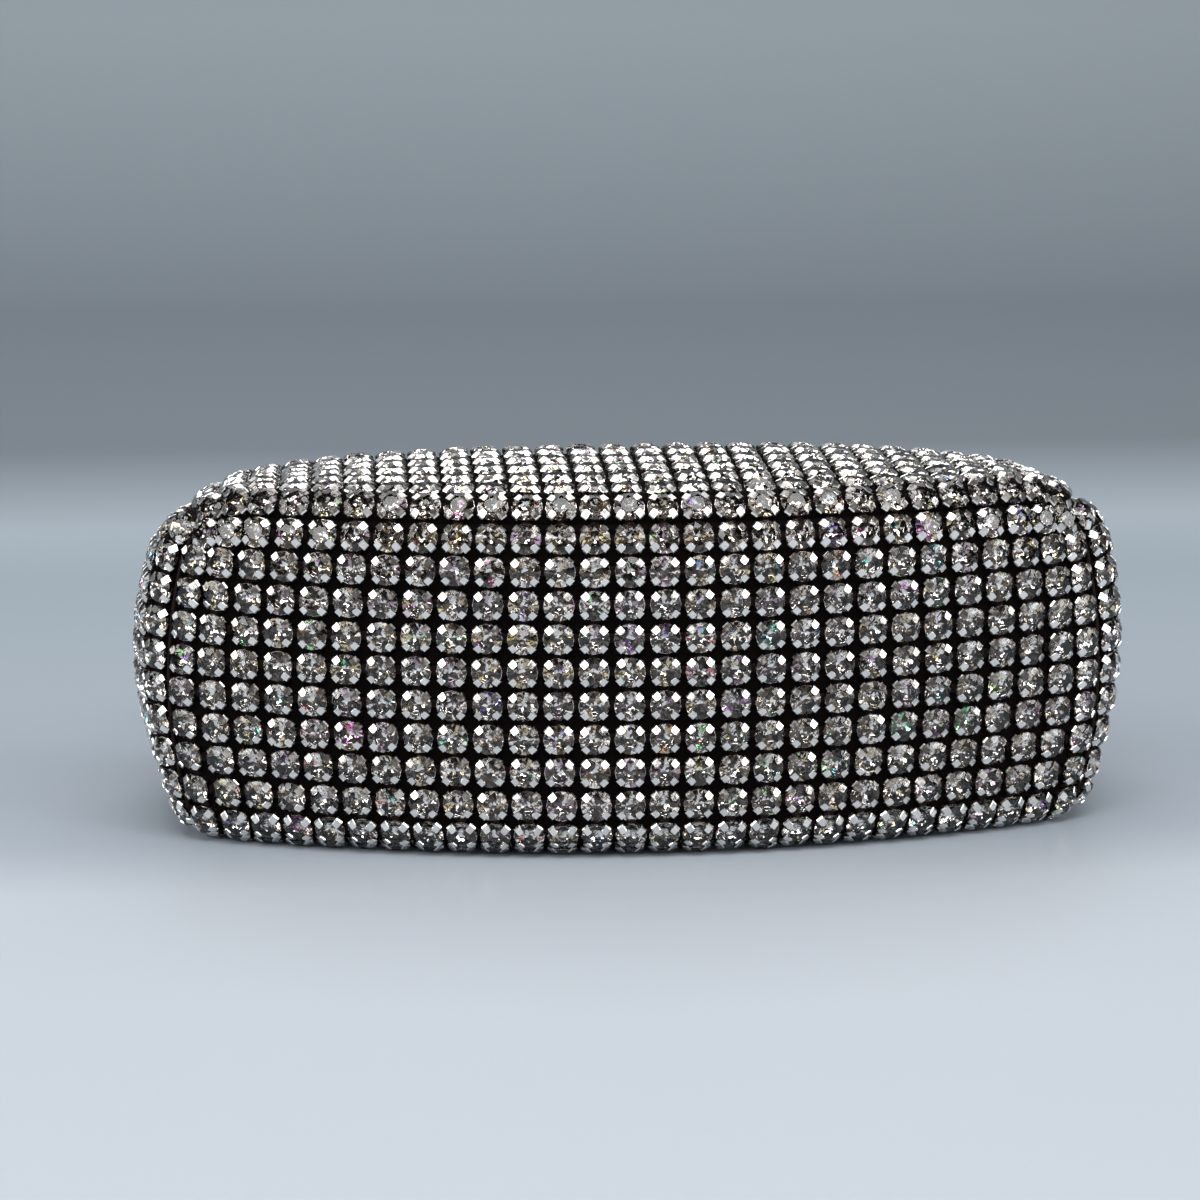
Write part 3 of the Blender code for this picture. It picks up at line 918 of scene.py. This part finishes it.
@dataclass
class StonePanel:
    """The stones and cups of one stretch of a face. Angles are in degrees."""

    shape: PouchShape
    finishes: Finishes
    face: Face
    rows: tuple[int, int]
    name: str
    edge_room: float = 0.0025
    side_flatness: float = 0.83
    least_height: float = 0.95
    cup_lean: float = 2.2
    cup_turn: float = 4.0
    stone_lean: float = 1.2
    stone_turn: float = 180.0
    sharp_angle: float = 24.0
    fine_steps: int = 201
    # Which foil copy each eighth of a stone's underside takes: five bright, two with painted shade
    # and one with a painted straw glint, of which a share turns violet
    foils_of_eighths: tuple[int, ...] = (0, 0, 0, 0, 0, 1, 1, 2)
    violet_glint_share: float = 0.3

    def spots(self) -> tuple[Array, Array]:
        """Where each stone of the stretch sits, and the directions along and out there."""
        if self.face.is_side:
            return self.shape.axes(self.face, *self.side_shares())
        across, along = self.shape.counts(self.face)
        firsts = self.shape.firsts(self.face, (np.arange(across) + 0.5) / across)
        seconds = (np.arange(*self.rows) + 0.5) / along
        first, second = np.meshgrid(firsts, seconds)
        return self.shape.axes(self.face, first.ravel(), second.ravel())

    def side_shares(self) -> tuple[Array, Array]:
        """The shares of a side panel's stones, in level rows that the sloping top edge cuts off.

        Returns:
            The two shares of each stone.
        """
        rows, columns = self.shape.counts(self.face)
        fine = np.linspace(0.0, 1.0, self.fine_steps)
        columns = (np.arange(columns) + 0.5) / columns
        lines = [self.shape.at(self.face, fine, np.full_like(fine, share)) for share in columns]
        marks = np.interp((np.arange(rows) + 0.5) / rows, fine, lengths_along(lines[0]))
        firsts, seconds = [], []
        for share, line in zip(columns, lines):
            lengths = lengths_along(line)
            kept = marks[marks < lengths[-1] - self.edge_room]
            firsts.extend(np.interp(kept, lengths, fine))
            seconds.extend([share] * len(kept))
        return np.array(firsts), np.array(seconds)

    def shaken(
        self, turns: Array, chance: np.random.Generator, tilt: float, spin: float
    ) -> Array:
        """Turns each place a little, at random.

        Args:
            turns: A matrix for each place.
            chance: The source of random numbers.
            tilt: How far a stone leans, in degrees.
            spin: How far it turns about its own axis, in degrees.

        Returns:
            The matrices, turned.
        """
        lean = np.radians(chance.normal(0.0, tilt, (len(turns), 2)))
        spun = np.radians(chance.uniform(-spin, spin, len(turns)))
        made = []
        for (a, b), c in zip(lean, spun):
            turn = Matrix.Rotation(a, 3, "X") @ Matrix.Rotation(b, 3, "Y")
            made.append(np.array(turn @ Matrix.Rotation(c, 3, "Z")))
        return np.einsum("nij,njk->nik", turns, np.array(made))

    def build(self, seed: int) -> list[Object]:
        """Makes the stones, the cups and the ties between them.

        Args:
            seed: Starts the random numbers.

        Returns:
            The three objects.
        """
        chance = np.random.default_rng(seed)
        places, turns = self.spots()
        seated = self.shaken(turns, chance, self.cup_lean, self.cup_turn)
        cuts = self.shaken(seated, chance, self.stone_lean, self.stone_turn)
        flatness = self.side_flatness if self.face.is_side else 1.0
        cuts[:, :, 2] *= flatness * chance.uniform(self.least_height, 1.0, (len(cuts), 1))
        finishes = self.finishes
        cups = repeated(f"{self.name}_cups", CupForm().build(), places, seated, [finishes.cup])
        cups.data.set_sharp_from_angle(angle=math.radians(self.sharp_angle))
        ties = repeated(f"{self.name}_ties", TieForm().build(), places, turns, [finishes.thread])
        stone = StoneForm().build()
        slots = np.tile(np.array(stone.slots), (len(places), 1))
        backed = np.flatnonzero(slots[0])
        # The eighths take their foil copies in random order, so painted shade and painted glints fall
        # at random
        eighths = chance.permuted(np.tile(self.foils_of_eighths, (len(places), 1)), axis=1)
        violet = chance.random(eighths.shape) < self.violet_glint_share
        eighths[(eighths == STRAW_GLINT) & violet] = VIOLET_GLINT
        slots[:, backed] += np.repeat(eighths, len(backed) // eighths.shape[1], axis=1)
        glass = [finishes.crystal, *finishes.foils]
        stones = repeated(f"{self.name}_stones", stone, places, cuts, glass, slots)
        return [stones, cups, ties]


@dataclass
class Netting:
    """The black netting that a face's cups are fixed to."""

    shape: PouchShape
    finishes: Finishes
    sink: float = 0.0021
    side_sink: float = 0.00248
    thickness: float = 0.0004
    hole_shares: tuple[float, float] = (0.27, 0.73)

    def stops(self, stones: int) -> Array:
        """The shares at which the cells of the netting end: at each stone's cell and its hole."""
        low, high = self.hole_shares
        marks = [stone + part for stone in range(stones) for part in (0.0, low, high)]
        return np.array([*marks, stones]) / stones

    def build(self, face: Face) -> Object:
        """Makes the netting of a whole face, with a hole for each cup, but none on the sides.

        Args:
            face: The face.

        Returns:
            The object.
        """
        across, along = self.shape.counts(face)
        firsts = self.shape.firsts(face, self.stops(across))
        seconds = self.stops(along)
        places, turns = self.shape.axes(face, *np.meshgrid(firsts, seconds))
        out = turns[..., :, 2]
        sink = self.side_sink if face.is_side else self.sink
        outer = places - sink * out
        inner = places - (sink + self.thickness) * out
        kept = np.ones((len(seconds) - 1, len(firsts) - 1), dtype=bool)
        if not face.is_side:
            kept[1::3, 1::3] = False
        if face.is_mirrored:
            outer, inner, kept = outer[:, ::-1], inner[:, ::-1], kept[:, ::-1]
        item = thin_sheet(f"{face.value}_netting", outer, inner, kept, self.finishes.netting)
        return item


@dataclass
class MeshCover:
    """All of the crystal mesh: netting, cups and stones, panel by panel."""

    shape: PouchShape
    finishes: Finishes
    fold_rows: tuple[int, int] = (15, 19)
    row_reach: float = 4.0

    def stones(self, face: Face, rows: tuple[int, int], name: str, seed: int) -> list[Object]:
        """Makes the stones, cups and ties of some rows of a face."""
        return StonePanel(self.shape, self.finishes, face, rows, name).build(seed)

    def blend_row(self, items: list[Object]) -> None:
        """Bakes the placement of a row of the fold into its meshes, and hides the fold's solid.

        Args:
            items: The row's stones, cups and ties.
        """
        for item in items:
            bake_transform(item)
            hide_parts("front_fold_mesh")

    def build_front(self) -> list[Object]:
        """Makes the front panel, which folds where the mouth opens."""
        first, last = self.fold_rows
        count = self.shape.front_rows
        made = self.stones(Face.FRONT, (0, first), "front", SEED)
        for item in made:
            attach(item, BODY)
            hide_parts("front_mesh")
        for number, row in enumerate(range(first, last), 1):
            items = self.stones(Face.FRONT, (row, row + 1), f"fold_row_{number}", SEED + row)
            middle = self.shape.at(Face.FRONT, np.array(0.0), np.array((row + 0.5) / count))
            self.blend_row(items)
            made += items
        band = self.stones(Face.FRONT, (last, count), "mouth", MOUTH_SEED)
        for item in band:
            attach(item, JAW)
            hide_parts("front_mouth_mesh")
        net = Netting(self.shape, self.finishes).build(Face.FRONT)
        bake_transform(net)
        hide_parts("front_mesh", "front_fold_mesh", "front_mouth_mesh")
        return [*made, *band, net]

    def build_fixed(self, face: Face, seed: int) -> list[Object]:
        """Makes a panel that stays with the body.

        Args:
            face: The panel's face.
            seed: Starts the random numbers.

        Returns:
            The pieces made.
        """
        made = self.stones(face, (0, self.shape.counts(face)[1]), face.value, seed)
        made.append(Netting(self.shape, self.finishes).build(face))
        for item in made:
            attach(item, BODY)
            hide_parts(f"{face.value}_mesh")
        return made

    def build(self) -> list[Object]:
        """Makes every panel."""
        made: list[Object] = []
        for seed, face in enumerate((Face.BASE, Face.BACK, Face.LEFT, Face.RIGHT), FIXED_SEED):
            made += self.build_fixed(face, seed)
        return made + self.build_front()


# Seams and loose threads


@dataclass
class Seams:
    """The piping down the ends of the base, and a few threads that came loose beside it.

    A thread's way is given as shares out, up and along the base. Each root gives its thread's
    place across and up the base, and its bend.
    """

    shape: PouchShape
    finishes: Finishes
    sides: int = 8
    beside: Triple = (0.31, -0.9, 0.3)
    piping_radius: float = 0.0004
    piping_run: tuple[float, float] = (0.04, 0.97)
    piping_steps: int = 60
    piping_sink: float = 0.0013
    thread_radius: float = 0.00006
    thread_length: float = 0.0036
    thread_steps: int = 12
    thread_sink: float = 0.0015
    thread_way: Triple = (0.55, 0.6, -0.35)
    curl: float = 0.0012
    curl_turn: float = 2.6
    curl_rise: float = 0.4
    roots: tuple[Triple, ...] = (
        (-0.98, 0.93, 0.9),
        (-0.99, 0.88, 0.2),
        (-0.97, 0.97, -0.6),
        (-0.95, 0.95, 0.4),
    )

    def tube(self, name: str, points: Array, radius: float) -> Object:
        """A closed round tube along some points.

        Args:
            name: The piece's name.
            points: The points of its middle line, in rows of three.
            radius: Its radius.

        Returns:
            The object.
        """
        form = Form(curved=True)
        way = np.gradient(points, axis=0)
        way /= np.linalg.norm(way, axis=1, keepdims=True)
        rings = []
        for place, ahead in zip(points, way):
            aside = np.cross(ahead, self.beside)
            aside /= np.linalg.norm(aside)
            upward = np.cross(ahead, aside)
            ring = []
            for i in range(self.sides):
                turn = 2.0 * math.pi * i / self.sides
                spot = place + radius * (math.cos(turn) * aside + math.sin(turn) * upward)
                ring.append(form.add_point(*spot))
            rings.append(ring)
        form.skin(rings)
        item = single(name, form, self.finishes.thread)
        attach(item, BODY)
        return item

    def build_piping(self, hand: float, name: str) -> Object:
        """Makes the piping of one end.

        Args:
            hand: -1 for the left end and 1 for the right end.
            name: The piece's name.

        Returns:
            The object.
        """
        up = np.linspace(*self.piping_run, self.piping_steps)
        places, turns = self.shape.axes(Face.BASE, np.full_like(up, hand), up)
        return self.tube(name, places - self.piping_sink * turns[:, :, 2], self.piping_radius)

    def build_threads(self) -> list[Object]:
        """Makes the loose threads at the upper left corner."""
        made = []
        run = np.linspace(0.0, 1.0, self.thread_steps)[:, None]
        outward, rise, sideways = self.thread_way
        for number, (across, up, bend) in enumerate(self.roots, 1):
            places, turns = self.shape.axes(Face.BASE, np.array([across]), np.array([up]))
            along, upward, out = turns[0].T
            curl = self.curl * np.sin(run * self.curl_turn + bend)
            way = self.thread_length * run * (outward * out + rise * upward + sideways * along)
            line = places[0] - self.thread_sink * out + way
            line = line + curl * (along * bend + upward * self.curl_rise)
            made.append(self.tube(f"loose_thread_{number}", line, self.thread_radius))
        return made

    def build(self) -> list[Object]:
        """Makes piping and threads."""
        made = [self.build_piping(-1.0, "left_piping"), self.build_piping(1.0, "right_piping")]
        return made + self.build_threads()


# Lining and frame, which keep their solids


@dataclass
class Inside:
    """Dresses the solids that stay: lining, board, frame, hinge pins and magnets."""

    finishes: Finishes

    def dress(self) -> int:
        """Gives each solid its finish and returns how many there are."""
        linings = ("base_lining", "front_lining", "back_lining", "left_side_lining",
                   "right_side_lining", "front_facing", "back_facing")
        steels = ("front_frame", "back_frame", "left_hinge_pin", "right_hinge_pin")
        plan = (
            (linings, self.finishes.satin),
            (steels, self.finishes.steel),
            (("front_magnet", "back_magnet"), self.finishes.magnet),
            (("base_board",), self.finishes.board),
        )
        for names, material in plan:
            for name in names:
                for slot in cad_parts[name].material_slots:
                    slot.material = material
        return sum(len(names) for names, _ in plan)


# The studio


@dataclass
class Studio:
    """The floor and backdrop, the lamps and the camera.

    The backdrop has a colour at each distance along it, which is depth and height added. These
    colours paint light and shade on its blue-grey: brighter in front of the pouch, darker beside
    it, a lighter line behind it, a dark band further back and lighter again at the far end. Each
    lamp has a name, a place, a width and height, and its power in watts.
    """

    # Painted light and shade: the backdrop's colour at each distance, bright in front, dark in a band
    # behind, lighter at the far end
    paper_painted_light: tuple[tuple[float, Triple], ...] = (
        (-0.08, (0.55, 0.605, 0.67)),
        (-0.045, (0.40, 0.455, 0.52)),
        (0.23, (0.353, 0.418, 0.469)),
        (0.31, (0.405, 0.47, 0.53)),
        (0.46, (0.19, 0.22, 0.254)),
        (0.85, (0.19, 0.226, 0.26)),
        (1.36, (0.36, 0.416, 0.462)),
    )
    paper_roughness: float = 0.42
    floor_front: float = -3.0
    floor_back: float = 0.8
    sweep_radius: float = 0.9
    sweep_steps: int = 12
    wall_height: float = 4.0
    half_width: float = 5.0
    lamps: tuple[tuple[str, Triple, tuple[float, float], float], ...] = (
        ("left lamp", (-1.15, -0.75, 0.78), (0.95, 0.5), 8.0),
        ("left panel", (-1.5, 0.1, 0.75), (1.0, 0.5), 5.0),
        ("right lamp", (1.32, -0.62, 0.8), (1.1, 0.6), 11.0),
        ("front panel", (0.0, -1.15, 0.28), (1.1, 0.16), 0.5),
        ("high panel", (0.1, -0.8, 1.6), (1.4, 0.6), 14.0),
        ("rear lamp", (0.0, 0.8, 1.25), (1.6, 1.0), 9.0),
    )
    lit_point: Triple = (0.0, 0.0, 0.04)
    room_colour: Triple = (1.0, 0.9, 0.84)
    room_strength: float = 0.08
    camera_place: Triple = (-0.05847, -0.71789, 0.18581)
    yaw: float = math.radians(4.3)
    pitch: float = math.radians(11.51)
    roll: float = math.radians(-0.14)
    focal_pixels: float = 3448.4
    picture_pixels: float = 1200.0
    sensor_width: float = 36.0
    nearest: float = 0.01

    def paper_material_with_painted_light(self) -> Material:
        """Makes the backdrop's material, whose colour along the sweep paints light and shade."""
        plain = Finish("backdrop paper", self.paper_painted_light[0][1], self.paper_roughness)
        material, nodes, shader = plain.start()
        place = nodes.node("ShaderNodeNewGeometry").outputs["Position"]
        parts = nodes.node("ShaderNodeSeparateXYZ", {0: place})
        way = nodes.math("ADD", parts.outputs[1], parts.outputs[2])
        first, last = self.paper_painted_light[0][0], self.paper_painted_light[-1][0]
        share = nodes.math("DIVIDE", nodes.math("SUBTRACT", way, first), last - first)
        # The ramp's stops paint light and shade along the backdrop
        painted_light_ramp = nodes.node("ShaderNodeValToRGB", {0: share})
        stops = painted_light_ramp.color_ramp.elements
        while len(stops) < len(self.paper_painted_light):
            stops.new(0.5)
        for stop, (distance, colour) in zip(stops, self.paper_painted_light):
            stop.position = (distance - first) / (last - first)
            stop.color = (*colour, 1.0)
        nodes.join(painted_light_ramp.outputs[0], shader.inputs["Base Color"])
        return material

    def backdrop(self) -> None:
        """Makes a seamless sweep: floor in front, then a wall behind."""
        bend, radius = self.floor_back, self.sweep_radius
        profile = [(self.floor_front, 0.0), (bend, 0.0)]
        for i in range(1, self.sweep_steps + 1):
            angle = math.pi / 2.0 * i / self.sweep_steps
            profile.append((bend + radius * math.sin(angle), radius - radius * math.cos(angle)))
        profile.append((bend + radius, self.wall_height))
        form = Form(curved=True)
        for depth, height in profile:
            form.add_point(-self.half_width, depth, height)
            form.add_point(self.half_width, depth, height)
        for i in range(0, 2 * len(profile) - 2, 2):
            form.add_face((i, i + 1, i + 3, i + 2))
        single("backdrop", form, self.paper_material_with_painted_light())

    def lights(self) -> None:
        """Adds the soft oblong lamps that look at the pouch, and the dim light of the room."""
        for name, place, size, power in self.lamps:
            light = bpy.data.lights.new(name, "AREA")
            light.shape = "RECTANGLE"
            light.size, light.size_y = size
            light.energy = power
            item = bpy.data.objects.new(name, light)
            item.location = place
            way = Vector(self.lit_point) - Vector(place)
            item.rotation_euler = way.to_track_quat("-Z", "Y").to_euler()
            bpy.context.scene.collection.objects.link(item)
        world = bpy.data.worlds.new("room")
        world.use_nodes = True
        room = world.node_tree.nodes["Background"]
        room.inputs["Color"].default_value = (*self.room_colour, 1.0)
        room.inputs["Strength"].default_value = self.room_strength
        bpy.context.scene.world = world

    def camera(self) -> None:
        """Sets the camera at the photograph's viewing angle."""
        data = bpy.data.cameras.new("camera")
        data.sensor_width = self.sensor_width
        data.lens = self.sensor_width * self.focal_pixels / self.picture_pixels
        data.clip_start = self.nearest
        item = bpy.data.objects.new("camera", data)
        ahead = Vector((
            math.sin(self.yaw) * math.cos(self.pitch),
            math.cos(self.yaw) * math.cos(self.pitch),
            -math.sin(self.pitch),
        ))
        right = Vector((math.cos(self.yaw), -math.sin(self.yaw), 0.0))
        up = right.cross(ahead)
        turned = right * math.cos(self.roll) + up * math.sin(self.roll)
        up = up * math.cos(self.roll) - right * math.sin(self.roll)
        turn = Matrix((turned, up, -ahead)).transposed()
        item.matrix_world = Matrix.Translation(Vector(self.camera_place)) @ turn.to_4x4()
        bpy.context.scene.collection.objects.link(item)
        bpy.context.scene.camera = item


def main() -> None:
    """Builds the whole scene, and reports each piece."""
    logging.basicConfig(level=logging.INFO, format="%(message)s")
    bpy.context.scene.view_settings.view_transform = "Standard"
    shape = PouchShape()
    finishes = Finishes.build()
    for item in MeshCover(shape, finishes).build() + Seams(shape, finishes).build():
        log.info("%s: %d faces", item.name, len(item.data.polygons))
    log.info("%d solids dressed", Inside(finishes).dress())
    studio = Studio()
    studio.backdrop()
    studio.lights()
    studio.camera()


if __name__ == "__main__":
    main()
